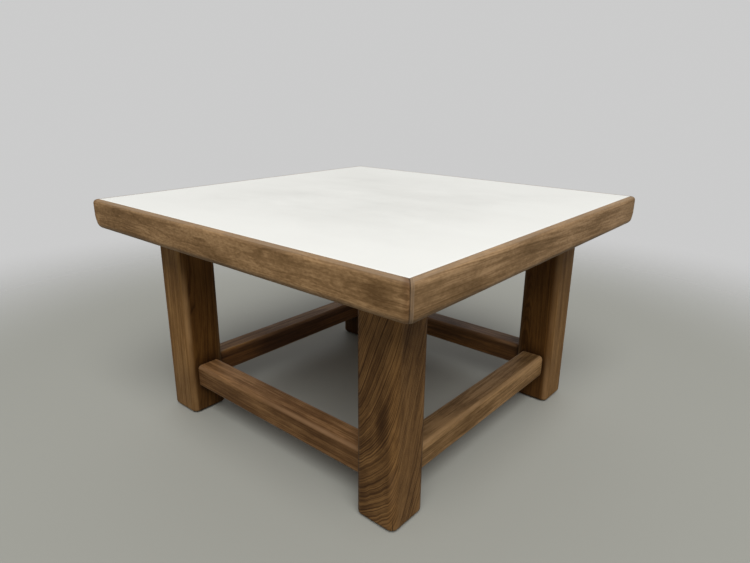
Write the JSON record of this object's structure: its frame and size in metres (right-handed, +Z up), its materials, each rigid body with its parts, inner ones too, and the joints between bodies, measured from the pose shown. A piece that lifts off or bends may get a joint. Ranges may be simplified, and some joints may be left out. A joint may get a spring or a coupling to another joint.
{
  "type": "square coffee table",
  "caption": "Low square table with a matt white top let into a rounded mitred wooden edge, on square wooden posts set in from the edge and tied by low stretchers.",
  "frame": {"origin": "on the floor under the middle of the top", "axes": "+X to the right along the front edge, +Y from front to back, +Z up"},
  "size_m": [0.75, 0.75, 0.434],
  "materials": {
    "white_surface": "matt, faintly mottled",
    "core_board": "raw plywood",
    "rail_wood": "oiled, satin",
    "leg_wood": "oiled, satin",
    "stretcher_wood": "oiled, satin",
    "bearer_wood": "planed, unfinished",
    "joinery_wood": "planed, unfinished",
    "screw_steel": "zinc plated",
    "felt": "pressed felt"
  },
  "bodies": {
    "root": {"top_surface": "white_surface", "top_panel": "core_board", "edge_rail_front": "rail_wood", "edge_rail_right": "rail_wood", "edge_rail_back": "rail_wood", "edge_rail_left": "rail_wood", "leg_front_left": "leg_wood", "leg_front_right": "leg_wood", "leg_back_right": "leg_wood", "leg_back_left": "leg_wood", "stretcher_front": "stretcher_wood", "stretcher_right": "stretcher_wood", "stretcher_back": "stretcher_wood", "stretcher_left": "stretcher_wood", "long_bearer_front": "bearer_wood", "long_bearer_back": "bearer_wood", "cross_bearer_left": "bearer_wood", "cross_bearer_right": "bearer_wood", "mitre_spline_front_left": "joinery_wood", "mitre_spline_front_right": "joinery_wood", "mitre_spline_back_right": "joinery_wood", "mitre_spline_back_left": "joinery_wood", "leg_wedges_front_left": "joinery_wood", "leg_wedges_front_right": "joinery_wood", "leg_wedges_back_right": "joinery_wood", "leg_wedges_back_left": "joinery_wood", "panel_screws": "screw_steel", "felt_pad_front_left": "felt", "felt_pad_front_right": "felt", "felt_pad_back_right": "felt", "felt_pad_back_left": "felt"}
  },
  "joints": []
}
